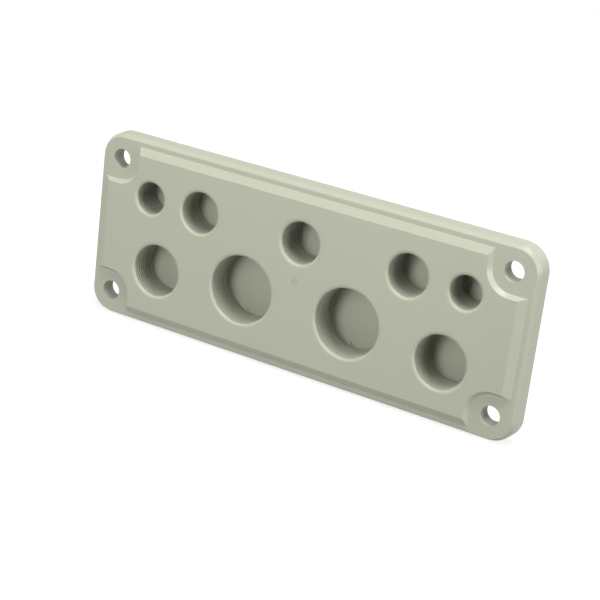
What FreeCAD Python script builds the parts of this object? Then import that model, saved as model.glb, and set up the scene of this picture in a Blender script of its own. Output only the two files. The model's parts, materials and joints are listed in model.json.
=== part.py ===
"""Cable entry plate: a moulded flange that closes the gland opening of an enclosure.

Frame: +X along the plate, +Z up, the panel that takes the glands faces -Y. The origin is the middle of
the four fixing holes, on the plane y = 0 where the flange seats on the enclosure.
"""
import FreeCAD, Part
import math
import os
from collections import namedtuple

Vec = FreeCAD.Vector
FRONTWARD = Vec(0, -1, 0)
REARWARD = Vec(0, 1, 0)

# Flange
LENGTH = 215.0                 # at the seating plane
HEIGHT = 84.8                  # at the seating plane
FLANGE_DEPTH = 10.3            # panel face to seating plane
CORNER_RADIUS = 11.3           # at the seating plane
SIDE_DRAFT = 0.4               # the side leans in by this, from the seating plane to the front bevel
FRONT_BEVEL_RUN = 1.3          # bevel along the front edge of the side, all round
FRONT_BEVEL_DEPTH = 2.2
FRONT_EDGE_ROUND = 0.4         # where the rim meets the front bevel
SHOULDER_ROUND = 1.5           # where the front bevel meets the drafted side

# Raised panel, which leaves a rim and a pocket round each fixing hole
RIM_STEP = 2.1                 # rim lies this far behind the panel face
RIM_WIDTH = 2.1                # front edge of the flange to the foot of the panel's bevel
BEVEL_RUN = 3.35               # bevel along the rim, from foot to panel edge
POCKET_RADIUS = 9.4            # foot of the bevel round a fixing hole
POCKET_BEVEL_RUN = 1.4
PANEL_EDGE_ROUND = 0.35
GATE_MARK_RADIUS = 1.5         # where the plastic entered the mould
GATE_MARK_DEPTH = 0.25
GATE_PIP_RADIUS = 0.45

# Fixing holes
FIXING_INSET_X = 11.5          # from the end of the flange
FIXING_INSET_Z = 11.4          # from the long side of the flange
FIXING_DIAMETER = 8.8
FIXING_RECESS_RADIUS = 6.0     # shallow relief behind each fixing hole, so that the seal's edge seats first
FIXING_RECESS_DEPTH = 1.1

# Threaded wells, metric fine thread; the bores have the minor diameter
THREAD_PITCH = 1.5
MINOR_RADIUS_PER_PITCH = 5.0 / 8.0 * math.cos(math.radians(30.0))
WELL_DEPTH = 14.3              # panel face to membrane
MOUTH_RUN = 1.6                # bevelled mouth, outward from the bore
MOUTH_DEPTH = 1.0
MEMBRANE_WALL = 1.5            # closes the well, broken out before a gland is fitted
SCORE_WIDTH = 0.9              # V groove round the membrane, where it breaks
SCORE_DEPTH = 0.4
NOSE_LENGTH = 1.6              # plain end of the two largest wells, below the thread
NOSE_STEP = 0.2                # and how much less its radius is
LUG_RADIUS = 0.8               # small lug on the membrane of the two largest wells
LUG_HEIGHT = 0.5
LUG_ANGLE = -107.0             # degrees from +X, seen from the front
BOSS_WALL = 2.2                # outside the thread's major radius

# Where the wells lie: pairs are mirrored about x = 0
M16_FROM_END = 29.8
M16_TO_M20 = 26.3
M25_FROM_END = 36.2
M32_FROM_MIDDLE = 26.45
UPPER_ROW_FROM_TOP = 25.0
M25_FROM_BOTTOM = 27.7
M32_FROM_BOTTOM = 31.4

# Hollow back
PANEL_WALL = 3.0
OUTER_WALL = 3.5               # side of the flange to the seal channel, at the seating plane
SEAL_WIDTH = 4.0
SEAL_CHANNEL_DEPTH = 4.3
SEAL_PROUD = 0.8               # how far the free seal stands behind the seating plane
SEAL_CORNER_RADIUS = 4.2       # middle line of the seal
FIXING_WALL = 3.2              # fixing hole to the seal channel
INNER_WALL = 2.0               # seal channel to the hollow
RIB_WALL = 1.6
RIB_BELOW_SEAT = 1.4

half_length = LENGTH / 2.0
half_height = HEIGHT / 2.0
front_y = -FLANGE_DEPTH
rim_y = front_y + RIM_STEP
hollow_y = front_y + PANEL_WALL
membrane_y = front_y + WELL_DEPTH
fixing_x = half_length - FIXING_INSET_X
fixing_z = half_height - FIXING_INSET_Z
front_inset = SIDE_DRAFT + FRONT_BEVEL_RUN
fixing_radius = FIXING_DIAMETER / 2.0

Well = namedtuple("Well", "size x z lug")


def well_list():
    """The nine wells: thread size, centre, and whether the membrane has the lug."""
    m16_x = half_length - M16_FROM_END
    m20_x = m16_x - M16_TO_M20
    m25_x = half_length - M25_FROM_END
    upper_z = half_height - UPPER_ROW_FROM_TOP
    m25_z = M25_FROM_BOTTOM - half_height
    m32_z = M32_FROM_BOTTOM - half_height
    wells = [Well(20.0, 0.0, upper_z, False)]
    for side in (-1, 1):
        wells.append(Well(16.0, side * m16_x, upper_z, False))
        wells.append(Well(20.0, side * m20_x, upper_z, False))
        wells.append(Well(25.0, side * m25_x, m25_z, False))
        wells.append(Well(32.0, side * M32_FROM_MIDDLE, m32_z, True))
    return wells


def minor_radius(well):
    return well.size / 2.0 - MINOR_RADIUS_PER_PITCH * THREAD_PITCH


def fixing_centres():
    """The four corners in turn, counter-clockwise seen from the front."""
    return [(sx * fixing_x, sz * fixing_z) for sx, sz in ((1, 1), (-1, 1), (-1, -1), (1, -1))]


def disc(radius, x, y, z, length):
    """Cylinder along +Y from the plane y."""
    return Part.makeCylinder(radius, length, Vec(x, y, z), REARWARD)


def cone(radius, end_radius, x, y, z, length):
    """Cone along +Y from the plane y."""
    return Part.makeCone(radius, end_radius, length, Vec(x, y, z), REARWARD)


def arc(centre, radius, start, end, y):
    """Arc edge in the plane y from one angle to another, in degrees from +X towards +Z."""
    points = []
    for angle in (start, (start + end) / 2.0, end):
        turn = math.radians(angle)
        points.append(Vec(centre[0] + radius * math.cos(turn), y, centre[1] + radius * math.sin(turn)))
    return Part.Arc(*points).toShape()


def closed_wire(arcs):
    """Join arcs, in order, by straight edges."""
    edges = []
    for index, edge in enumerate(arcs):
        start = arcs[index - 1].Vertexes[-1].Point
        end = edge.Vertexes[0].Point
        if start.distanceToPoint(end) > 1e-6:
            edges.append(Part.makeLine(start, end))
        edges.append(edge)
    return Part.Wire(edges)


def rounded_outline(half_x, half_z, radius, y):
    """Rounded rectangle in the plane y."""
    arcs = []
    for index, (sx, sz) in enumerate(((1, 1), (-1, 1), (-1, -1), (1, -1))):
        centre = (sx * (half_x - radius), sz * (half_z - radius))
        arcs.append(arc(centre, radius, 90.0 * index, 90.0 * (index + 1), y))
    return closed_wire(arcs)


def pocketed_outline(half_x, half_z, pocket_radius, y):
    """Rectangle in the plane y with a rounded pocket cut from each corner, round its fixing hole."""
    edges = []
    corners = []
    for index, (cx, cz) in enumerate(fixing_centres()):
        quarter = 90.0 * index
        inner = arc((cx, cz), pocket_radius, quarter + 270.0, quarter + 180.0, y)
        first, last = inner.Vertexes[0].Point, inner.Vertexes[-1].Point
        if index % 2 == 0:
            mouth_in = Vec(math.copysign(half_x, cx), y, first.z)
            mouth_out = Vec(last.x, y, math.copysign(half_z, cz))
        else:
            mouth_in = Vec(first.x, y, math.copysign(half_z, cz))
            mouth_out = Vec(math.copysign(half_x, cx), y, last.z)
        corners.append((mouth_in, inner, mouth_out))
    for index, (mouth_in, inner, mouth_out) in enumerate(corners):
        edges.append(Part.makeLine(corners[index - 1][2], mouth_in))
        edges.append(Part.makeLine(mouth_in, inner.Vertexes[0].Point))
        edges.append(inner)
        edges.append(Part.makeLine(inner.Vertexes[-1].Point, mouth_out))
    return Part.Wire(edges)


def seal_outline(outward, y):
    """Line that runs beside the middle of the seal, moved outward, in the plane y.

    The seal follows the long and short sides and passes inside the fixing holes.
    """
    middle = OUTER_WALL + SEAL_WIDTH / 2.0
    half_x = half_length - middle + outward
    half_z = half_height - middle + outward
    convex = SEAL_CORNER_RADIUS + outward
    concave = fixing_radius + FIXING_WALL + SEAL_WIDTH / 2.0 - outward
    arcs = []
    for index, (cx, cz) in enumerate(fixing_centres()):
        quarter = 90.0 * index
        end_x = math.copysign(half_x - convex, cx)
        side_z = math.copysign(half_z - convex, cz)
        beside_x = cx - math.copysign(concave + convex, cx)
        below_z = cz - math.copysign(concave + convex, cz)
        at_end = arc((end_x, below_z), convex, quarter, quarter + 90.0, y)
        at_side = arc((beside_x, side_z), convex, quarter, quarter + 90.0, y)
        if index % 2 == 1:
            at_end, at_side = at_side, at_end
        arcs.append(at_end)
        arcs.append(arc((cx, cz), concave, quarter + 270.0, quarter + 180.0, y))
        arcs.append(at_side)
    return closed_wire(arcs)


def prism(wire, length):
    """Solid from a wire, along +Y."""
    return Part.Face(wire).extrude(REARWARD * length)


def edges_at(shape, y):
    """Edges that lie in the plane y."""
    chosen = []
    for edge in shape.Edges:
        box = edge.BoundBox
        if max(abs(box.YMin - y), abs(box.YMax - y)) < 1e-4:
            chosen.append(edge)
    return chosen


def flange_outline(inset, y):
    return rounded_outline(half_length - inset, half_height - inset, CORNER_RADIUS - inset, y)


def flange():
    """Slab from the rim to the seating plane, with a drafted side and a bevelled front edge."""
    shoulder_y = rim_y + FRONT_BEVEL_DEPTH
    front = flange_outline(front_inset, rim_y)
    shoulder = flange_outline(SIDE_DRAFT, shoulder_y)
    back = flange_outline(0.0, 0.0)
    slab = Part.makeLoft([front, shoulder, back], True, True)
    slab = slab.makeFillet(SHOULDER_ROUND, edges_at(slab, shoulder_y))
    return slab.makeFillet(FRONT_EDGE_ROUND, edges_at(slab, rim_y))


def raised_panel():
    """Bevelled plateau on the rim, with a pocket round each fixing hole."""
    foot_x = half_length - front_inset - RIM_WIDTH
    foot_z = half_height - front_inset - RIM_WIDTH
    top = pocketed_outline(foot_x - BEVEL_RUN, foot_z - BEVEL_RUN, POCKET_RADIUS + POCKET_BEVEL_RUN, front_y)
    foot = pocketed_outline(foot_x, foot_z, POCKET_RADIUS, rim_y)
    plateau = Part.makeLoft([top, foot], True, True)
    plateau = plateau.makeFillet(PANEL_EDGE_ROUND, edges_at(plateau, front_y))
    root = prism(foot, (hollow_y - rim_y) / 2.0)
    return plateau.fuse(root)


def boss(well):
    """Round wall behind the panel that holds one well."""
    start_y = front_y + PANEL_WALL / 2.0
    length = membrane_y + MEMBRANE_WALL - start_y
    return disc(well.size / 2.0 + BOSS_WALL, well.x, start_y, well.z, length)


def bore(well):
    """Void of one well: bevelled mouth, minor-diameter bore and the score round the membrane.

    The two largest wells end in a plain nose with a small lug on the membrane.
    """
    radius = minor_radius(well)
    floor_radius = radius - NOSE_STEP if well.lug else radius
    bore_depth = WELL_DEPTH - NOSE_LENGTH if well.lug else WELL_DEPTH
    void = disc(radius, well.x, front_y, well.z, bore_depth)
    mouth = cone(radius + MOUTH_RUN, radius, well.x, front_y, well.z, MOUTH_DEPTH)
    ridge_radius = floor_radius - SCORE_WIDTH
    tip_radius = floor_radius - SCORE_WIDTH / 2.0
    score = cone(floor_radius, tip_radius, well.x, membrane_y, well.z, SCORE_DEPTH)
    score = score.cut(cone(ridge_radius, tip_radius, well.x, membrane_y, well.z, SCORE_DEPTH))
    void = void.fuse([mouth, score])
    if well.lug:
        nose = disc(floor_radius, well.x, front_y + bore_depth, well.z, NOSE_LENGTH)
        turn = math.radians(LUG_ANGLE)
        out = floor_radius - LUG_RADIUS
        height = LUG_HEIGHT + SCORE_DEPTH
        start_y = membrane_y - LUG_HEIGHT
        lug = disc(LUG_RADIUS, well.x + out * math.cos(turn), start_y, well.z + out * math.sin(turn), height)
        void = void.fuse(nose).cut(lug)
    return void


def fixing_void(x, z):
    """Through hole for one fixing screw, with a shallow relief round its rear end."""
    hole = disc(fixing_radius, x, rim_y, z, -rim_y)
    relief = disc(FIXING_RECESS_RADIUS, x, -FIXING_RECESS_DEPTH, z, FIXING_RECESS_DEPTH)
    return hole.fuse(relief)


def hollow_outline():
    return seal_outline(-(SEAL_WIDTH / 2.0 + INNER_WALL), hollow_y)


def ribs(wells):
    """Ribs that tie the bosses to each other and to the inner wall."""
    depth = -RIB_BELOW_SEAT - hollow_y
    upper_z = half_height - UPPER_ROW_FROM_TOP
    lower_z = (M25_FROM_BOTTOM + M32_FROM_BOTTOM) / 2.0 - half_height
    bars = []
    for z in (upper_z, lower_z):
        bars.append(Part.makeBox(LENGTH, depth, RIB_WALL, Vec(-half_length, hollow_y, z - RIB_WALL / 2.0)))
    columns = [well.x for well in wells if well.size != 25.0]
    for x in columns:
        bars.append(Part.makeBox(RIB_WALL, depth, HEIGHT, Vec(x - RIB_WALL / 2.0, hollow_y, -half_height)))
    web = bars[0].fuse(bars[1:])
    return web.common(prism(hollow_outline(), depth))


def gate_mark():
    """Shallow dimple with a pip, in the middle of the panel face."""
    dimple = disc(GATE_MARK_RADIUS, 0.0, front_y, 0.0, GATE_MARK_DEPTH)
    return dimple.cut(disc(GATE_PIP_RADIUS, 0.0, front_y, 0.0, GATE_MARK_DEPTH))


def seal_band(length):
    """Closed band along the seal's path, from the floor of its channel."""
    outer = prism(seal_outline(SEAL_WIDTH / 2.0, -SEAL_CHANNEL_DEPTH), length)
    inner = prism(seal_outline(-SEAL_WIDTH / 2.0, -SEAL_CHANNEL_DEPTH), length)
    return outer.cut(inner)


def entry_plate():
    """The whole moulding as one solid."""
    wells = well_list()
    body = flange().fuse(raised_panel())
    body = body.cut([prism(hollow_outline(), -hollow_y), seal_band(SEAL_CHANNEL_DEPTH)])
    body = body.fuse([ribs(wells)] + [boss(well) for well in wells])
    voids = [bore(well) for well in wells]
    voids += [fixing_void(x, z) for x, z in fixing_centres()]
    voids.append(gate_mark())
    return body.cut(voids).removeSplitter()


def sealing_gasket():
    """Soft seal that fills the channel and stands proud of the seating plane."""
    return seal_band(SEAL_CHANNEL_DEPTH + SEAL_PROUD)


def save(name, shape):
    """Write one sub-part and report it."""
    solid = shape.Solids[0] if len(shape.Solids) == 1 else shape
    solid.exportStep(os.path.join("parts", name + ".step"))
    print(name, "solids", len(shape.Solids), "valid", shape.isValid(), "volume", round(shape.Volume, 1))


os.makedirs("parts", exist_ok=True)
save("entry_plate", entry_plate())
save("sealing_gasket", sealing_gasket())
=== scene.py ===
"""Looks of the cable entry plate: a moulded flange with nine threaded wells, and the foam seal at its back.

Sizes in the classes are millimetres, as on a drawing, and MM turns them into metres where a mesh is made.
The frame is the part's own: +X along the plate, +Z up, and the panel with the wells faces -Y.
"""

import json
import logging
import math
from collections.abc import Iterator
from contextlib import contextmanager
from dataclasses import dataclass, field
from enum import Enum
from typing import NamedTuple

import bmesh
import bpy
from mathutils import Matrix, Vector


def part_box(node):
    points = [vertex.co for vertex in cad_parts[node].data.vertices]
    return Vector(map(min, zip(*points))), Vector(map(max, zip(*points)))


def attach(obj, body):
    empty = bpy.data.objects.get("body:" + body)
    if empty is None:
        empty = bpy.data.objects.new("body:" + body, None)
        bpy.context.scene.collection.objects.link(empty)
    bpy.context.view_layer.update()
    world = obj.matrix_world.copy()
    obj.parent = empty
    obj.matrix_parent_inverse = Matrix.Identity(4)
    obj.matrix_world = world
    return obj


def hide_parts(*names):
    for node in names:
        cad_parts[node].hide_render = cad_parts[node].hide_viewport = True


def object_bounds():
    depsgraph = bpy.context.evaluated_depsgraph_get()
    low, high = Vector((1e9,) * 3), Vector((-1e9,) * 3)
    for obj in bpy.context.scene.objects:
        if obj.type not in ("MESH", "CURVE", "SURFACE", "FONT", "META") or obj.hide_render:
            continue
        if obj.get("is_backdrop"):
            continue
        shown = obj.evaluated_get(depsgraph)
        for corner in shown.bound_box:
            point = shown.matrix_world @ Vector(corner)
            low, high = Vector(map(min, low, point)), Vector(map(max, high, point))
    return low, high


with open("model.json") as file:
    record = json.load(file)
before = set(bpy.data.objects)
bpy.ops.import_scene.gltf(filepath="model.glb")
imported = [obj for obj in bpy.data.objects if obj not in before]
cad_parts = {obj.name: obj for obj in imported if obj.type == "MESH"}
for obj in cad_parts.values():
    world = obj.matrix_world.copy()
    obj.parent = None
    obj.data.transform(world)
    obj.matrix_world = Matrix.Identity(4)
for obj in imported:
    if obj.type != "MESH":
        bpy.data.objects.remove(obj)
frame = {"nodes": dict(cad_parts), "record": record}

MM = 0.001
PURE_WHITE = (1.0, 1.0, 1.0, 1.0)
LOG = logging.getLogger("cable_entry_plate")


class Body(Enum):
    """The bodies that pieces ride on. The plate has no joint, so there is only one."""

    PLATE = "root"


class Slot(Enum):
    """Material slots of the record."""

    MOULDING = "moulding"
    SEAL = "seal"


def linear(hex_colour: str) -> tuple[float, float, float, float]:
    """Turn an sRGB hex colour into linear light, by the standard's own curve.

    Args:
        hex_colour: Colour such as "#b6b9a6".

    Returns:
        Red, green, blue and an alpha of 1.
    """
    channels = [int(hex_colour[start:start + 2], 16) / 255.0 for start in (1, 3, 5)]
    decoded = [c / 12.92 if c <= 0.04045 else ((c + 0.055) / 1.055) ** 2.4 for c in channels]
    return (decoded[0], decoded[1], decoded[2], 1.0)


def toward(azimuth: float, elevation: float) -> Vector:
    """Give the direction from the part to a place round it.

    Args:
        azimuth: Degrees to the right of straight on.
        elevation: Degrees above level.

    Returns:
        A vector of length 1.
    """
    turn, lift = math.radians(azimuth), math.radians(elevation)
    return Vector((math.sin(turn) * math.cos(lift), -math.cos(turn) * math.cos(lift), math.sin(lift)))


def add_node(
    tree: bpy.types.NodeTree,
    kind: str,
    settings: dict | None = None,
    links: dict | None = None,
    **properties: object,
) -> bpy.types.Node:
    """Add one node with its settings and links.

    Args:
        tree: Shader or geometry tree.
        kind: Blender's name of the node type.
        settings: Input name or index, and the value it is set to.
        links: Input name or index, and the output socket that feeds it.
        **properties: The node's own options, such as its operation.

    Returns:
        The new node.
    """
    node = tree.nodes.new(kind)
    for name, value in properties.items():
        setattr(node, name, value)
    for name, value in (settings or {}).items():
        node.inputs[name].default_value = value
    for name, socket in (links or {}).items():
        tree.links.new(socket, node.inputs[name])
    return node


def new_material(name: str) -> tuple[bpy.types.Material, bpy.types.NodeTree]:
    """Make an empty node material.

    Args:
        name: Name of the finish.

    Returns:
        The material and its cleared node tree.
    """
    material = bpy.data.materials.new(name)
    material.use_nodes = True
    material.node_tree.nodes.clear()
    return material, material.node_tree


def white_seen(tree: bpy.types.NodeTree) -> bpy.types.NodeSocket:
    """Tell which rays get the white background: the camera's, and what gloss and glass show of it.

    Args:
        tree: Tree of the floor's material or of the world.

    Returns:
        1 for those rays and 0 for the light that falls on the part.
    """
    light = add_node(tree, "ShaderNodeLightPath").outputs
    seen = light["Is Camera Ray"]
    for ray in ("Is Glossy Ray", "Is Transmission Ray"):
        either = add_node(tree, "ShaderNodeMath", links={0: seen, 1: light[ray]}, operation="MAXIMUM")
        seen = either.outputs["Value"]
    return seen


def add_object(name: str, data: bpy.types.ID) -> bpy.types.Object:
    """Link a mesh, camera or lamp to the scene as an object at the origin.

    Args:
        name: Name of the object.
        data: What it shows.

    Returns:
        The object.
    """
    thing = bpy.data.objects.new(name, data)
    bpy.context.scene.collection.objects.link(thing)
    return thing


@contextmanager
def editing(mesh: bpy.types.Mesh) -> Iterator[bmesh.types.BMesh]:
    """Open a mesh for editing, and write it back when the block ends.

    Args:
        mesh: Mesh to change, or an empty one to fill.

    Returns:
        A block that holds its editable form.
    """
    work = bmesh.new()
    work.from_mesh(mesh)
    yield work
    work.to_mesh(mesh)
    work.free()


def evaluated_mesh(piece: bpy.types.Object) -> bpy.types.Mesh:
    """Give the plain mesh that an object's modifiers make.

    Args:
        piece: Object with live modifiers.

    Returns:
        A new mesh with the modifiers applied.
    """
    depsgraph = bpy.context.evaluated_depsgraph_get()
    return bpy.data.meshes.new_from_object(piece.evaluated_get(depsgraph))


def apply_modifier(piece: bpy.types.Object, kind: str, **settings: object) -> None:
    """Put a piece through one modifier and keep the result as its plain mesh.

    Args:
        piece: Object to change.
        kind: Blender's name of the modifier type.
        **settings: The modifier's options.
    """
    modifier = piece.modifiers.new(kind.lower(), kind)
    for name, value in settings.items():
        setattr(modifier, name, value)
    piece.data = evaluated_mesh(piece)
    piece.modifiers.clear()


def run_tree(
    name: str, base: bpy.types.Mesh, tree: bpy.types.NodeTree, values: dict[str, object],
) -> bpy.types.Mesh:
    """Run a geometry tree on a mesh and keep the result as a plain mesh.

    Args:
        name: Name of the new mesh.
        base: Mesh that goes in.
        tree: Geometry tree with named inputs.
        values: Input name and value.

    Returns:
        The tree's result, with no modifier left.
    """
    carrier = add_object(name, base)
    modifier = carrier.modifiers.new(tree.name, "NODES")
    modifier.node_group = tree
    items = tree.interface.items_tree
    sockets = {item.name: item.identifier for item in items if item.item_type == "SOCKET"}
    for label, value in values.items():
        modifier[sockets[label]] = value
    result = evaluated_mesh(carrier)
    result.name = name
    bpy.data.objects.remove(carrier)
    return result


@dataclass(frozen=True)
class MouldedPlastic:
    """ABS, injection moulded in pebble grey against a finely spark-eroded mould.

    The eye gets a satin surface: a broad soft sheen, a grain that is only just felt, and slow changes of
    gloss where the melt flowed.
    """

    name: str = "moulded_abs_pebble_grey"
    colour: str = "#a6a997"
    colour_deeper: str = "#a2a593"
    ior: float = 1.54                    # ABS
    roughness: float = 0.46              # satin, from the eroded mould
    roughness_spread: float = 0.05
    grain_mm: float = 0.45               # the real grain is about 0.1 mm, drawn coarser so that it shows
    grain_height_mm: float = 0.006
    grain_detail: float = 3.0            # finer layers of grain in the pattern
    grain_weight: float = 0.6            # of each finer layer
    flow_mm: float = 38.0                # length over which the colour and gloss drift
    flow_detail: float = 2.0
    seed: float = 3.0

    def material(self) -> bpy.types.Material:
        """Build the node material.

        Returns:
            The finish of the moulding.
        """
        material, tree = new_material(self.name)
        where = add_node(tree, "ShaderNodeTexCoord").outputs["Object"]
        flow = add_node(
            tree, "ShaderNodeTexNoise",
            {"Scale": 1.0 / (self.flow_mm * MM), "Detail": self.flow_detail, "W": self.seed},
            {"Vector": where}, noise_dimensions="4D",
        ).outputs["Fac"]
        grain = add_node(
            tree, "ShaderNodeTexNoise",
            {"Scale": 1.0 / (self.grain_mm * MM), "Detail": self.grain_detail,
             "Roughness": self.grain_weight},
            {"Vector": where},
        ).outputs["Fac"]
        tint = add_node(
            tree, "ShaderNodeMix",
            {"A": linear(self.colour), "B": linear(self.colour_deeper)},
            {"Factor": flow}, data_type="RGBA",
        ).outputs["Result"]
        smoothest, roughest = self.roughness - self.roughness_spread, self.roughness + self.roughness_spread
        gloss = add_node(
            tree, "ShaderNodeMapRange", {"To Min": smoothest, "To Max": roughest}, {"Value": flow},
        ).outputs["Result"]
        relief = add_node(
            tree, "ShaderNodeBump",
            {"Strength": 1.0, "Distance": self.grain_height_mm * MM}, {"Height": grain},
        ).outputs["Normal"]
        shader = add_node(
            tree, "ShaderNodeBsdfPrincipled", {"IOR": self.ior, "Metallic": 0.0},
            {"Base Color": tint, "Roughness": gloss, "Normal": relief},
        ).outputs["BSDF"]
        add_node(tree, "ShaderNodeOutputMaterial", links={"Surface": shader})
        return material


@dataclass(frozen=True)
class ThreadCrestPaintedShade(MouldedPlastic):
    """The same ABS on the narrow lands between a thread's turns, with painted shade in its colour.

    A thread of 1.5 mm pitch is finer than the render can show by its relief alone, so these lands, which
    face away from the light, are drawn darker than they are: painted shade, not a colour of the ABS.
    """

    name: str = "moulded_abs_thread_crest"
    # painted shade: darker than the moulding's own colour
    colour: str = "#75786b"
    colour_deeper: str = "#727568"
    roughness: float = 0.58


@dataclass(frozen=True)
class FoamSkin:
    """Polyurethane foam, poured as a bead into the channel and risen there.

    The eye gets a dead matt dark skin with fine closed pores, whose pits carry painted shade.
    """

    name: str = "polyurethane_foam_skin"
    colour: str = "#3a3b3a"
    # painted shade: the colour at the bottom of each pore's pit
    colour_pore_painted_shade: str = "#262726"
    ior: float = 1.50                    # polyurethane
    roughness: float = 0.88
    pore_mm: float = 0.5
    pore_depth_mm: float = 0.05
    pore_sharpness: float = 0.8

    def material(self) -> bpy.types.Material:
        """Build the node material.

        Returns:
            The finish of the seal.
        """
        material, tree = new_material(self.name)
        where = add_node(tree, "ShaderNodeTexCoord").outputs["Object"]
        cells = add_node(
            tree, "ShaderNodeTexVoronoi", {"Scale": 1.0 / (self.pore_mm * MM)}, {"Vector": where},
            feature="SMOOTH_F1",
        ).outputs["Distance"]
        # painted shade: the colour darkens towards the bottom of each pit, in the same pattern as the bump
        tint = add_node(
            tree, "ShaderNodeMix",
            {"A": linear(self.colour_pore_painted_shade), "B": linear(self.colour)}, {"Factor": cells}, data_type="RGBA",
        ).outputs["Result"]
        relief = add_node(
            tree, "ShaderNodeBump",
            {"Strength": self.pore_sharpness, "Distance": self.pore_depth_mm * MM}, {"Height": cells},
        ).outputs["Normal"]
        shader = add_node(
            tree, "ShaderNodeBsdfPrincipled", {"IOR": self.ior, "Roughness": self.roughness},
            {"Base Color": tint, "Normal": relief},
        ).outputs["BSDF"]
        add_node(tree, "ShaderNodeOutputMaterial", links={"Surface": shader})
        return material


@dataclass(frozen=True)
class WhiteSweep:
    """White paper sweep: a matt floor that the camera sees as white, with the object's shadow kept."""

    name: str = "white_paper_sweep"
    colour: str = "#bdbdbb"
    colour_bounced: str = "#7c7c7b"      # what the object gets back from it, as from a floor well below
    glow: float = 0.80                   # part of the white that a shadow can't darken
    shaded: float = 0.60                 # part that takes the light and the shadow
    fade_start: float = 0.35             # metres from the middle, where it starts to turn pure white
    fade_end: float = 1.1                # metres, where it is white whatever the light

    def material(self) -> bpy.types.Material:
        """Build the node material.

        Returns:
            The finish of the floor.
        """
        material, tree = new_material(self.name)
        paper, bounce = (
            add_node(tree, "ShaderNodeBsdfDiffuse", {"Color": linear(shade)}).outputs["BSDF"]
            for shade in (self.colour, self.colour_bounced)
        )
        black, glow, white = (
            add_node(tree, "ShaderNodeEmission", {"Strength": strength}).outputs["Emission"]
            for strength in (0.0, self.glow, 1.0)
        )
        dimmed = add_node(
            tree, "ShaderNodeMixShader", {"Fac": self.shaded}, {1: black, 2: paper},
        ).outputs["Shader"]
        near = add_node(tree, "ShaderNodeAddShader", links={0: dimmed, 1: glow}).outputs["Shader"]
        where = add_node(tree, "ShaderNodeTexCoord").outputs["Object"]
        reach = add_node(
            tree, "ShaderNodeVectorMath", links={0: where}, operation="LENGTH",
        ).outputs["Value"]
        fade = add_node(
            tree, "ShaderNodeMapRange", {"From Min": self.fade_start, "From Max": self.fade_end},
            {"Value": reach},
        ).outputs["Result"]
        shown = add_node(
            tree, "ShaderNodeMixShader", links={"Fac": fade, 1: near, 2: white},
        ).outputs["Shader"]
        both = add_node(
            tree, "ShaderNodeMixShader", links={"Fac": white_seen(tree), 1: bounce, 2: shown},
        ).outputs["Shader"]
        add_node(tree, "ShaderNodeOutputMaterial", links={"Surface": both})
        return material


@dataclass
class SweepTree:
    """Geometry tree that carries a section along a path round the local Z axis, then stands it up.

    Local +Z becomes +Y, so a path drawn in the local XY plane runs in a plane parallel to the panel.
    """

    name: str
    tree: bpy.types.NodeTree = field(init=False)
    inputs: bpy.types.NodeOutputs = field(init=False)

    def start(self, inputs: dict[str, str]) -> None:
        """Open the tree and give it named inputs.

        Args:
            inputs: Input name and its socket type.
        """
        self.tree = bpy.data.node_groups.new(self.name, "GeometryNodeTree")
        interface = self.tree.interface
        interface.new_socket("Geometry", in_out="INPUT", socket_type="NodeSocketGeometry")
        for label, kind in inputs.items():
            interface.new_socket(label, in_out="INPUT", socket_type=kind)
        interface.new_socket("Geometry", in_out="OUTPUT", socket_type="NodeSocketGeometry")
        self.inputs = add_node(self.tree, "NodeGroupInput").outputs

    def calculate(
        self, operation: str, first: float | bpy.types.NodeSocket, second: float | bpy.types.NodeSocket,
    ) -> bpy.types.NodeSocket:
        """Work out one number in the tree.

        Args:
            operation: Blender's name of the sum.
            first: Number or socket.
            second: Number or socket.

        Returns:
            The socket of the result.
        """
        settings = {}
        links = {}
        for index, term in enumerate((first, second)):
            (links if isinstance(term, bpy.types.NodeSocket) else settings)[index] = term
        return add_node(self.tree, "ShaderNodeMath", settings, links, operation=operation).outputs["Value"]

    def finish(
        self, solid: bpy.types.NodeSocket, centre: bpy.types.NodeSocket | None,
        finish: bpy.types.NodeSocket,
    ) -> bpy.types.NodeTree:
        """Stand the solid up, move it to its centre and close the tree.

        Args:
            solid: Geometry made so far.
            centre: Place of the local origin, if it isn't the part's.
            finish: Material socket.

        Returns:
            The finished tree.
        """
        quarter = math.radians(-90.0)
        links = {"Geometry": solid}
        if centre is not None:
            links["Translation"] = centre
        placed = add_node(
            self.tree, "GeometryNodeTransform", {"Rotation": (quarter, 0.0, 0.0)}, links,
        ).outputs["Geometry"]
        real = add_node(
            self.tree, "GeometryNodeRealizeInstances", links={"Geometry": placed},
        ).outputs["Geometry"]
        dressed = add_node(
            self.tree, "GeometryNodeSetMaterial", links={"Geometry": real, "Material": finish},
        ).outputs["Geometry"]
        add_node(self.tree, "NodeGroupOutput", links={"Geometry": dressed})
        return self.tree


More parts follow.
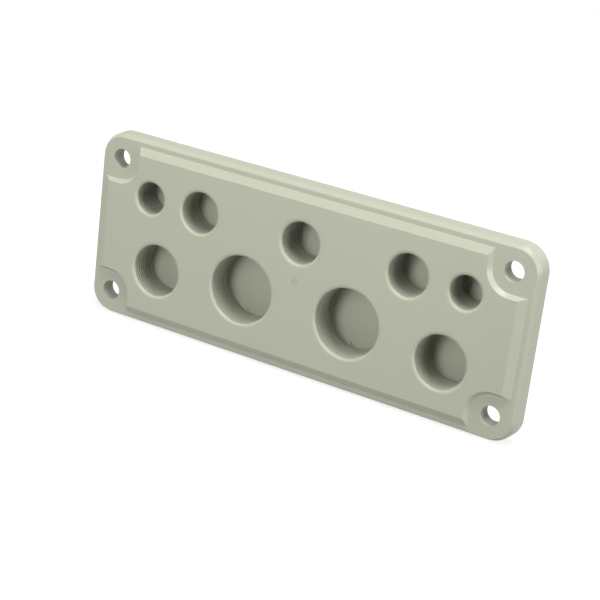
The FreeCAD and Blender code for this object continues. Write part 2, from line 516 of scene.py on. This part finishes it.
@dataclass(frozen=True)
class GlandThread:
    """Metric fine thread of a gland well, cut as a helical groove from the minor to the major diameter."""

    pitch: float = 1.5
    flank_angle: float = 30.0            # degrees, each flank
    depth_share: float = 5.0 / 8.0       # of the height of the full triangle between the flanks
    root_per_pitch: float = 1.0 / 8.0    # flat at the bottom of the groove
    overlap: float = 0.3                 # the cutter starts this far inside the bore
    start_depth: float = 0.7             # panel face to the middle of the first turn
    tail: float = 0.55                   # plain wall left below the last turn
    run_in: float = 0.5                  # of a turn, over which the groove reaches its depth
    run_out: float = 0.35                # of a turn, over which it fades
    steps_per_turn: int = 56

    def cutter_tree(self) -> bpy.types.NodeTree:
        """Build the tree that makes one cutter.

        Returns:
            Geometry tree with the sizes as named inputs.
        """
        sweep = SweepTree("gland_thread_cutter")
        numbers = (
            "Inner Radius", "Outer Radius", "Pitch", "Turns", "Root Width", "Mouth Width", "Run In",
            "Run Out",
        )
        sweep.start({
            **dict.fromkeys(numbers, "NodeSocketFloat"), "Steps": "NodeSocketInt",
            "Centre": "NodeSocketVector", "Finish": "NodeSocketMaterial",
        })
        given = sweep.inputs
        cut = sweep.calculate("SUBTRACT", given["Outer Radius"], given["Inner Radius"])
        solid = add_node(
            sweep.tree, "GeometryNodeCurveToMesh", {"Fill Caps": True},
            {"Curve": self.helix(sweep, cut), "Profile Curve": self.groove_section(sweep, cut)},
        ).outputs["Mesh"]
        return sweep.finish(solid, given["Centre"], given["Finish"])

    def helix(self, sweep: SweepTree, cut: bpy.types.NodeSocket) -> bpy.types.NodeSocket:
        """Lay the groove's path, which draws inwards at both ends so that the groove fades out.

        Args:
            sweep: The cutter's tree, started.
            cut: Depth of the section.

        Returns:
            The path as a curve.
        """
        tree, given = sweep.tree, sweep.inputs
        both = sweep.calculate("ADD", given["Inner Radius"], given["Outer Radius"])
        middle = sweep.calculate("MULTIPLY", both, 0.5)
        height = sweep.calculate("MULTIPLY", given["Pitch"], given["Turns"])
        helix = add_node(
            tree, "GeometryNodeCurveSpiral",
            links={"Resolution": given["Steps"], "Rotations": given["Turns"], "Start Radius": middle,
                   "End Radius": middle, "Height": height},
        ).outputs["Curve"]
        along = add_node(tree, "GeometryNodeSplineParameter").outputs["Factor"]
        gone = sweep.calculate("MULTIPLY", along, given["Turns"])
        left = sweep.calculate("SUBTRACT", given["Turns"], gone)
        fades = [
            add_node(
                tree, "ShaderNodeMapRange", {"From Min": 0.0, "To Min": 1.0, "To Max": 0.0},
                {"Value": turns, "From Max": given[label]},
            ).outputs["Result"]
            for turns, label in ((gone, "Run In"), (left, "Run Out"))
        ]
        fade = sweep.calculate("MAXIMUM", *fades)
        inward = sweep.calculate("MULTIPLY", sweep.calculate("MULTIPLY", fade, cut), -1.0)
        place = add_node(tree, "GeometryNodeInputPosition").outputs["Position"]
        flat = add_node(
            tree, "ShaderNodeVectorMath", {1: (1.0, 1.0, 0.0)}, {0: place}, operation="MULTIPLY",
        ).outputs["Vector"]
        radial = add_node(
            tree, "ShaderNodeVectorMath", links={0: flat}, operation="NORMALIZE",
        ).outputs["Vector"]
        offset = add_node(
            tree, "ShaderNodeVectorMath", links={0: radial, "Scale": inward}, operation="SCALE",
        ).outputs["Vector"]
        helix = add_node(
            tree, "GeometryNodeSetPosition", links={"Geometry": helix, "Offset": offset},
        ).outputs["Geometry"]
        return add_node(
            tree, "GeometryNodeSetCurveNormal", links={"Curve": helix}, mode="Z_UP",
        ).outputs["Curve"]

    @staticmethod
    def groove_section(sweep: SweepTree, cut: bpy.types.NodeSocket) -> bpy.types.NodeSocket:
        """Draw the groove's section, a trapezium with its narrow side outwards.

        Args:
            sweep: The cutter's tree, started.
            cut: Depth of the section.

        Returns:
            The section as a curve.
        """
        quarter = math.radians(90.0)
        mouth, root = sweep.inputs["Mouth Width"], sweep.inputs["Root Width"]
        section = add_node(
            sweep.tree, "GeometryNodeCurvePrimitiveQuadrilateral", {"Offset": 0.0},
            {"Height": cut, "Bottom Width": mouth, "Top Width": root}, mode="TRAPEZOID",
        ).outputs["Curve"]
        return add_node(
            sweep.tree, "GeometryNodeTransform", {"Rotation": (0.0, 0.0, quarter)}, {"Geometry": section},
        ).outputs["Geometry"]

    def cutter(
        self, well: dict, front_y: float, tree: bpy.types.NodeTree, finish: bpy.types.Material,
    ) -> bpy.types.Mesh:
        """Make the cutter of one well.

        Args:
            well: Mount of the well in the record.
            front_y: Panel face, in metres.
            tree: The cutter's geometry tree.
            finish: Material of the cut surface.

        Returns:
            A closed mesh in place.
        """
        minor = well["dims"]["r_mm"]
        floor_y = well["pos_m"][1] / MM + well["dims"]["length_mm"] / 2.0
        depth = floor_y - self.tail - self.pitch / 2.0 - front_y / MM - self.start_depth
        groove = self.depth_share * math.cos(math.radians(self.flank_angle)) * self.pitch
        inner = minor - self.overlap
        outer = minor + groove
        root = self.pitch * self.root_per_pitch
        mouth = root + 2.0 * math.tan(math.radians(self.flank_angle)) * (outer - inner)
        centre = (well["pos_m"][0], front_y + self.start_depth * MM, well["pos_m"][2])
        values = {
            "Inner Radius": inner * MM, "Outer Radius": outer * MM, "Pitch": self.pitch * MM,
            "Turns": depth / self.pitch, "Steps": self.steps_per_turn, "Root Width": root * MM,
            "Mouth Width": mouth * MM, "Run In": self.run_in, "Run Out": self.run_out, "Centre": centre,
            "Finish": finish,
        }
        return run_tree(well["name"] + "_thread", bpy.data.meshes.new("cutter_base"), tree, values)


class LipCorner(NamedTuple):
    """Where a corner of a well's mouth lies."""

    angle: float                         # radians round the bore
    run: float                           # millimetres outside the bore
    depth: float                         # millimetres below the panel


@dataclass
class EntryPlate:
    """The moulding: the solid's own form with its gland threads cut and its edges softened."""

    node: str = "entry_plate"
    name: str = "entry_plate_moulding"
    weld: float = 0.002                  # corners closer than this are one
    flat_angle: float = 0.5              # degrees under which neighbours are one flat face
    edge_radius: float = 0.15            # of every outside and inside edge of the mould
    edge_steps: int = 2                  # facets of such a rounding
    edge_angle: float = 28.0             # degrees from which two faces meet in such an edge
    lip_run: float = 1.6                 # a well's mouth, outward from the bore
    lip_depth: float = 1.0               # and down into it
    lip_steps: int = 8
    lip_slack: float = 0.02              # in finding the solid's plain bevel there
    smooth_angle: float = 22.0           # degrees between faces that shade as one
    crest_width: float = 0.42            # of the pitch: a face of the bore no longer than this is a crest
    crest_slack: float = 0.04            # of a crest's corners from the bore
    thread: GlandThread = GlandThread()
    finish: MouldedPlastic = MouldedPlastic()
    # the lands' finish: its darker colour is painted shade
    crest_painted_shade: ThreadCrestPaintedShade = ThreadCrestPaintedShade()

    def wells(self) -> list[dict]:
        """Give the record's mounts that are threaded wells."""
        return [mount for mount in frame["record"]["mounts"] if mount["kind"] == "threaded_hole"]

    def merged_copy(self) -> bpy.types.Object:
        """Copy the solid's mesh and weld its loose triangles.

        Returns:
            A closed piece in place.
        """
        mesh = frame["nodes"][self.node].data.copy()
        with editing(mesh) as work:
            bmesh.ops.remove_doubles(work, verts=work.verts, dist=self.weld * MM)
            bmesh.ops.dissolve_limit(
                work, angle_limit=math.radians(self.flat_angle), verts=work.verts, edges=work.edges,
            )
        mesh.materials.clear()
        return add_object(self.name, mesh)

    def round_lips(self, piece: bpy.types.Object) -> None:
        """Roll the panel into each well with a quarter ellipse in place of the plain bevel.

        Args:
            piece: The plate, before its other edges are softened.
        """
        front_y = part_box(self.node)[0].y
        with editing(piece.data) as work:
            for well in self.wells():
                centre = Vector((well["pos_m"][0], front_y, well["pos_m"][2]))
                self.round_lip(work, centre, well["dims"]["r_mm"])
            bmesh.ops.recalc_face_normals(work, faces=work.faces)

    def round_lip(self, work: bmesh.types.BMesh, centre: Vector, bore: float) -> None:
        """Replace the bevel of one mouth.

        Args:
            work: The plate's mesh.
            centre: Middle of the mouth on the panel, metres.
            bore: Radius of the bore, millimetres.
        """
        lip = self.find_lip(work, centre, bore)
        around = sorted(lip, key=lambda vert: lip[vert].angle)
        outer = [vert for vert in around if lip[vert].depth < self.lip_slack]
        inner = [vert for vert in around if lip[vert].run < self.lip_slack]
        angles = [lip[vert].angle for vert in outer]
        inner_angles = [lip[vert].angle for vert in inner]
        bevel = [face for face in work.faces if all(vert in lip for vert in face.verts)]
        bmesh.ops.delete(work, geom=bevel, context="FACES")
        ring = outer
        for step in range(1, self.lip_steps):
            turn = math.pi / 2.0 * step / self.lip_steps
            reach = bore + self.lip_run * (1.0 - math.sin(turn))
            depth = self.lip_depth * (1.0 - math.cos(turn))
            arms = [Vector((math.cos(angle) * reach, depth, math.sin(angle) * reach)) for angle in angles]
            lower = [work.verts.new(centre + arm * MM) for arm in arms]
            for index in range(len(ring)):
                work.faces.new((ring[index - 1], ring[index], lower[index], lower[index - 1]))
            ring = lower
        self.zip_rings(work, (ring, angles), (inner, inner_angles))

    def find_lip(
        self, work: bmesh.types.BMesh, centre: Vector, bore: float,
    ) -> dict[bmesh.types.BMVert, LipCorner]:
        """Find the corners of a mouth's plain bevel.

        Args:
            work: The plate's mesh.
            centre: Middle of the mouth on the panel, metres.
            bore: Radius of the bore, millimetres.

        Returns:
            Each corner of it and where it lies.
        """
        slack = self.lip_slack
        lip = {}
        for vert in work.verts:
            arm = (vert.co - centre) / MM
            run, depth = math.hypot(arm.x, arm.z) - bore, arm.y
            off_bevel = abs(run / self.lip_run + depth / self.lip_depth - 1.0)
            if -slack < run < self.lip_run + slack and off_bevel < slack:
                lip[vert] = LipCorner(math.atan2(arm.z, arm.x), run, depth)
        return lip

    @staticmethod
    def zip_rings(
        work: bmesh.types.BMesh, upper: tuple[list, list[float]], lower: tuple[list, list[float]],
    ) -> None:
        """Join two closed rings of different counts with triangles.

        Args:
            work: The mesh.
            upper: Corners in order of angle, and their angles.
            lower: The same of the other ring.
        """
        lap = 2.0 * math.pi
        rings = [(corners + corners[:1], angles + [angles[0] + lap]) for corners, angles in (upper, lower)]
        at = [0, 0]
        last = [len(corners) - 1 for corners, _ in rings]
        while at != last:
            ahead = [
                angles[index + 1] if index < end else math.inf
                for (_, angles), index, end in zip(rings, at, last)
            ]
            side = 0 if ahead[0] <= ahead[1] else 1
            here, there = rings[side][0], rings[1 - side][0]
            work.faces.new((here[at[side]], here[at[side] + 1], there[at[1 - side]]))
            at[side] += 1

    def soften_edges(self, piece: bpy.types.Object) -> None:
        """Round every edge a little, as the mould's own edges are.

        Args:
            piece: The plate.
        """
        apply_modifier(
            piece, "BEVEL", width=self.edge_radius * MM, segments=self.edge_steps, limit_method="ANGLE",
            angle_limit=math.radians(self.edge_angle), use_clamp_overlap=True,
        )

    def cut_threads(self, piece: bpy.types.Object, finish: bpy.types.Material) -> None:
        """Cut a helical groove in every well.

        Args:
            piece: The plate.
            finish: Material of the cut surface.
        """
        front_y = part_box(self.node)[0].y
        tree = self.thread.cutter_tree()
        joined = bpy.data.meshes.new("thread_cutters")
        joined.materials.append(finish)
        with editing(joined) as work:
            for well in self.wells():
                mesh = self.thread.cutter(well, front_y, tree, finish)
                work.from_mesh(mesh)
                bpy.data.meshes.remove(mesh)
            bmesh.ops.recalc_face_normals(work, faces=work.faces)
        cutters = add_object("thread_cutters", joined)
        apply_modifier(
            piece, "BOOLEAN", operation="DIFFERENCE", solver="EXACT", material_mode="TRANSFER",
            object=cutters,
        )
        bpy.data.objects.remove(cutters)

    def paint_crest_shade(self, piece: bpy.types.Object, finish: bpy.types.Material) -> None:
        """Give the lands between the turns of the threads the finish that carries their painted shade.

        Args:
            piece: The plate with its threads cut.
            finish: Material of the lands, with painted shade in its colour.
        """
        mesh = piece.data
        mesh.materials.append(finish)
        slot = len(mesh.materials) - 1
        wells = self.wells()
        for face in mesh.polygons:
            spots = [face.center / MM] + [mesh.vertices[index].co / MM for index in face.vertices]
            if any(self.is_crest(spots, well) for well in wells):
                face.material_index = slot

    def is_crest(self, spots: list[Vector], well: dict) -> bool:
        """Tell whether a face is a land between two turns of a well's thread.

        Args:
            spots: The face's middle and corners, millimetres.
            well: Mount of the well in the record.

        Returns:
            True if all of it lies on the bore and it is short enough.
        """
        x, z, bore = well["pos_m"][0] / MM, well["pos_m"][2] / MM, well["dims"]["r_mm"]
        if any(abs(math.hypot(spot.x - x, spot.z - z) - bore) >= self.crest_slack for spot in spots):
            return False
        depths = [spot.y for spot in spots]
        return max(depths) - min(depths) < self.crest_width * self.thread.pitch

    def shade(self, piece: bpy.types.Object) -> None:
        """Shade round surfaces as round, flat ones as flat up to their edge, and keep crisp edges crisp.

        Args:
            piece: The plate.
        """
        limit = math.radians(self.smooth_angle)
        with editing(piece.data) as work:
            for face in work.faces:
                face.smooth = True
            for edge in work.edges:
                edge.smooth = len(edge.link_faces) == 2 and edge.calc_face_angle() < limit
        apply_modifier(piece, "WEIGHTED_NORMAL", mode="FACE_AREA", keep_sharp=True)

    def build(self) -> bpy.types.Object:
        """Make the piece, dress it and let it stand for the solid.

        Returns:
            The finished piece.
        """
        finish = self.finish.material()
        piece = self.merged_copy()
        piece.data.materials.append(finish)
        self.round_lips(piece)
        self.soften_edges(piece)
        self.cut_threads(piece, finish)
        # painted shade on the thread lands, so that the turns show
        self.paint_crest_shade(piece, self.crest_painted_shade.material())
        self.shade(piece)
        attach(piece, Body.PLATE.value)
        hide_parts(self.node)
        return piece


@dataclass
class SealingGasket:
    """The seal: one closed foam bead with a rounded crown, in the channel round the hollow back."""

    node: str = "sealing_gasket"
    name: str = "foam_seal_bead"
    channel: float = 4.0                 # wide, in the moulding
    clearance: float = 0.05              # free of each wall of it
    corner_radius: float = 4.2           # middle line, at the outward corners
    detour_radius: float = 9.6           # middle line, round the inner side of a fixing hole
    crown_radius: float = 1.55
    crown_steps: int = 5                 # of each corner of the bead's section
    arc_steps: int = 10                  # of each arc of its path
    point_spacing: float = 1.3
    ripple: float = 0.045                # unevenness of the poured bead, only inwards
    ripple_length: float = 9.0
    ripple_detail: float = 2.0
    seed: int = 11
    finish: FoamSkin = FoamSkin()

    def path(self, low: Vector, high: Vector) -> list[tuple[float, float]]:
        """Work out the middle line from the seal's box and the fixing holes.

        Args:
            low: Lowest corner of the solid, metres; not used.
            high: Highest corner of the solid, metres.

        Returns:
            Points in the plane of the panel, X and Z in millimetres, once round.
        """
        band = self.channel / 2.0
        half_x, half_z = high.x / MM - band, high.z / MM - band
        screws = next(m for m in frame["record"]["mounts"] if m["kind"] == "bolt_pattern")["dims"]
        hole_x, hole_z = screws["spacing_x_mm"] / 2.0, screws["spacing_y_mm"] / 2.0
        reach = self.corner_radius + self.detour_radius
        corner = []
        for centre, radius, start, end in (
            ((half_x - self.corner_radius, hole_z - reach), self.corner_radius, 0.0, 90.0),
            ((hole_x, hole_z), self.detour_radius, 270.0, 180.0),
            ((hole_x - reach, half_z - self.corner_radius), self.corner_radius, 0.0, 90.0),
        ):
            for step in range(self.arc_steps + 1):
                turn = math.radians(start + (end - start) * step / self.arc_steps)
                corner.append((centre[0] + radius * math.cos(turn), centre[1] + radius * math.sin(turn)))
        points = []
        for side_x, side_z in ((1, 1), (-1, 1), (-1, -1), (1, -1)):
            run = corner if side_x * side_z > 0 else corner[::-1]
            points += [(x * side_x, z * side_z) for x, z in run]
        return points

    def tree(self) -> bpy.types.NodeTree:
        """Build the tree that carries the bead's section along the path.

        Returns:
            Geometry tree with the sizes as named inputs.
        """
        sweep = SweepTree("foam_seal_sweep")
        numbers = ("Spacing", "Width", "Height", "Crown Radius", "Ripple", "Ripple Scale")
        sweep.start({
            **dict.fromkeys(numbers, "NodeSocketFloat"), "Seed": "NodeSocketInt",
            "Finish": "NodeSocketMaterial",
        })
        tree, given = sweep.tree, sweep.inputs
        line = add_node(tree, "GeometryNodeMeshToCurve", links={"Mesh": given["Geometry"]}).outputs["Curve"]
        line = add_node(
            tree, "GeometryNodeResampleCurve", links={"Curve": line, "Length": given["Spacing"]},
            mode="LENGTH",
        ).outputs["Curve"]
        line = add_node(
            tree, "GeometryNodeSetCurveNormal", links={"Curve": line}, mode="Z_UP",
        ).outputs["Curve"]
        section = add_node(
            tree, "GeometryNodeCurvePrimitiveQuadrilateral",
            links={"Width": given["Width"], "Height": given["Height"]}, mode="RECTANGLE",
        ).outputs["Curve"]
        section = add_node(
            tree, "GeometryNodeFilletCurve", {"Count": self.crown_steps},
            {"Curve": section, "Radius": given["Crown Radius"]}, mode="POLY",
        ).outputs["Curve"]
        bead = add_node(
            tree, "GeometryNodeCurveToMesh", links={"Curve": line, "Profile Curve": section},
        ).outputs["Mesh"]
        wave = add_node(
            tree, "ShaderNodeTexNoise", {"Detail": self.ripple_detail},
            {"Scale": given["Ripple Scale"], "W": given["Seed"]}, noise_dimensions="4D",
        ).outputs["Fac"]
        lift = sweep.calculate("MULTIPLY", sweep.calculate("SUBTRACT", wave, 1.0), given["Ripple"])
        outward = add_node(tree, "GeometryNodeInputNormal").outputs["Normal"]
        push = add_node(
            tree, "ShaderNodeVectorMath", links={0: outward, "Scale": lift}, operation="SCALE",
        ).outputs["Vector"]
        bead = add_node(
            tree, "GeometryNodeSetPosition", links={"Geometry": bead, "Offset": push},
        ).outputs["Geometry"]
        bead = add_node(tree, "GeometryNodeSetShadeSmooth", links={"Geometry": bead}).outputs["Geometry"]
        return sweep.finish(bead, None, given["Finish"])

    def build(self) -> bpy.types.Object:
        """Make the bead, dress it and let it stand for the solid.

        Returns:
            The finished piece.
        """
        low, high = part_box(self.node)
        middle_y = (low.y + high.y) / 2.0
        base = bpy.data.meshes.new("foam_seal_path")
        with editing(base) as loop:
            corners = [loop.verts.new((x * MM, -z * MM, middle_y)) for x, z in self.path(low, high)]
            for index, corner in enumerate(corners):
                loop.edges.new((corner, corners[(index + 1) % len(corners)]))
        values = {
            "Spacing": self.point_spacing * MM, "Width": (self.channel - 2.0 * self.clearance) * MM,
            "Height": high.y - low.y, "Crown Radius": self.crown_radius * MM, "Ripple": self.ripple * MM,
            "Ripple Scale": 1.0 / (self.ripple_length * MM), "Seed": self.seed,
            "Finish": self.finish.material(),
        }
        mesh = run_tree(self.name, base, self.tree(), values)
        with editing(mesh) as work:
            bmesh.ops.recalc_face_normals(work, faces=work.faces)
        piece = add_object(self.name, mesh)
        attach(piece, Body.PLATE.value)
        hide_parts(self.node)
        return piece


@dataclass
class PhotoCamera:
    """Camera of the photograph: it looks down on the panel from the front right, tilted a little."""

    name: str = "photo_camera"
    azimuth: float = 29.053              # degrees to the right of straight on
    elevation: float = 19.493            # degrees above level
    roll: float = -7.111                 # degrees
    distance: float = 721.59
    aim: tuple[float, float, float] = (3.48, -10.3, -6.93)
    lens: float = 102.34                 # millimetres on a 36 mm wide picture

    def build(self) -> None:
        """Place the camera and make it the scene's."""
        turn, tilt = math.radians(self.azimuth), math.radians(self.roll)
        back = toward(self.azimuth, self.elevation)
        level_right = Vector((math.cos(turn), math.sin(turn), 0.0))
        level_up = back.cross(level_right)
        right = level_right * math.cos(tilt) - level_up * math.sin(tilt)
        up = level_up * math.cos(tilt) + level_right * math.sin(tilt)
        place = Vector(self.aim) * MM + back * (self.distance * MM)
        camera = add_object(self.name, bpy.data.cameras.new(self.name))
        camera.data.lens = self.lens
        camera.matrix_world = Matrix.Translation(place) @ Matrix((right, up, back)).transposed().to_4x4()
        bpy.context.scene.camera = camera


@dataclass(frozen=True)
class SoftBox:
    """One square soft box, aimed at the middle of the part."""

    name: str
    azimuth: float                       # degrees to the right of straight on
    elevation: float                     # degrees above level
    power: float                         # watts
    size: float = 0.6                    # metres
    distance: float = 1.3                # metres

    def build(self) -> None:
        """Hang the lamp and aim it."""
        away = toward(self.azimuth, self.elevation)
        lamp = add_object(self.name, bpy.data.lights.new(self.name, "AREA"))
        lamp.data.shape = "SQUARE"
        lamp.data.size = self.size
        lamp.data.energy = self.power
        lamp.location = away * self.distance
        lamp.rotation_euler = (-away).to_track_quat("-Z", "Y").to_euler()


@dataclass
class Studio:
    """White sweep, soft boxes and a faint even room light."""

    floor_radius: float = 6.0            # metres
    floor_steps: int = 96
    floor_finish: WhiteSweep = WhiteSweep()
    ambient: float = 0.01                # light of the room on the part
    lamps: tuple[SoftBox, ...] = (
        SoftBox("low_front_softbox", -14.0, 2.0, 1.92, size=0.21, distance=0.7),
        SoftBox("left_front_softbox", -14.0, 19.0, 0.80, size=0.21, distance=0.7),
        SoftBox("front_softbox", 0.0, 36.0, 0.56, size=0.21, distance=0.7),
        SoftBox("overhead_softbox", 45.0, 75.0, 19.0),
        SoftBox("right_softbox", 80.0, 5.0, 14.0),
        SoftBox("left_softbox", -80.0, 20.0, 4.0),
        SoftBox("back_softbox", 180.0, 5.0, 11.5),    # low, or the upper right corner mirrors it
    )

    def floor(self) -> None:
        """Lay the sweep level with the lower edge of the part, as part of the stage."""
        level = Matrix.Translation((0.0, 0.0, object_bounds()[0][2]))
        mesh = bpy.data.meshes.new("white_floor")
        with editing(mesh) as work:
            bmesh.ops.create_circle(
                work, cap_ends=True, segments=self.floor_steps, radius=self.floor_radius, matrix=level,
            )
        mesh.materials.append(self.floor_finish.material())
        floor = add_object("white_floor", mesh)
        floor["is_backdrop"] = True

    def room(self) -> None:
        """Give the world an even light, and white where the camera sees it."""
        world = bpy.data.worlds.new("white_room")
        world.use_nodes = True
        tree = world.node_tree
        tree.nodes.clear()
        lit, white = (
            add_node(
                tree, "ShaderNodeBackground", {"Color": PURE_WHITE, "Strength": strength},
            ).outputs["Background"]
            for strength in (self.ambient, 1.0)
        )
        both = add_node(
            tree, "ShaderNodeMixShader", links={"Fac": white_seen(tree), 1: lit, 2: white},
        ).outputs["Shader"]
        add_node(tree, "ShaderNodeOutputWorld", links={"Surface": both})
        bpy.context.scene.world = world

    def build(self) -> None:
        """Set up the floor, the room and the lamps."""
        self.floor()
        self.room()
        for lamp in self.lamps:
            lamp.build()
        bpy.context.scene.view_settings.view_transform = "Standard"


def main() -> None:
    """Build the camera, the pieces and the studio, and report each piece."""
    logging.basicConfig(level=logging.INFO, format="%(name)s: %(message)s")
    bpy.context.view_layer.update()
    PhotoCamera().build()
    pieces = [EntryPlate().build(), SealingGasket().build()]
    Studio().build()
    for piece in pieces:
        piece.data.calc_loop_triangles()
        LOG.info("%s: %d triangles", piece.name, len(piece.data.loop_triangles))


if __name__ == "__main__":
    main()
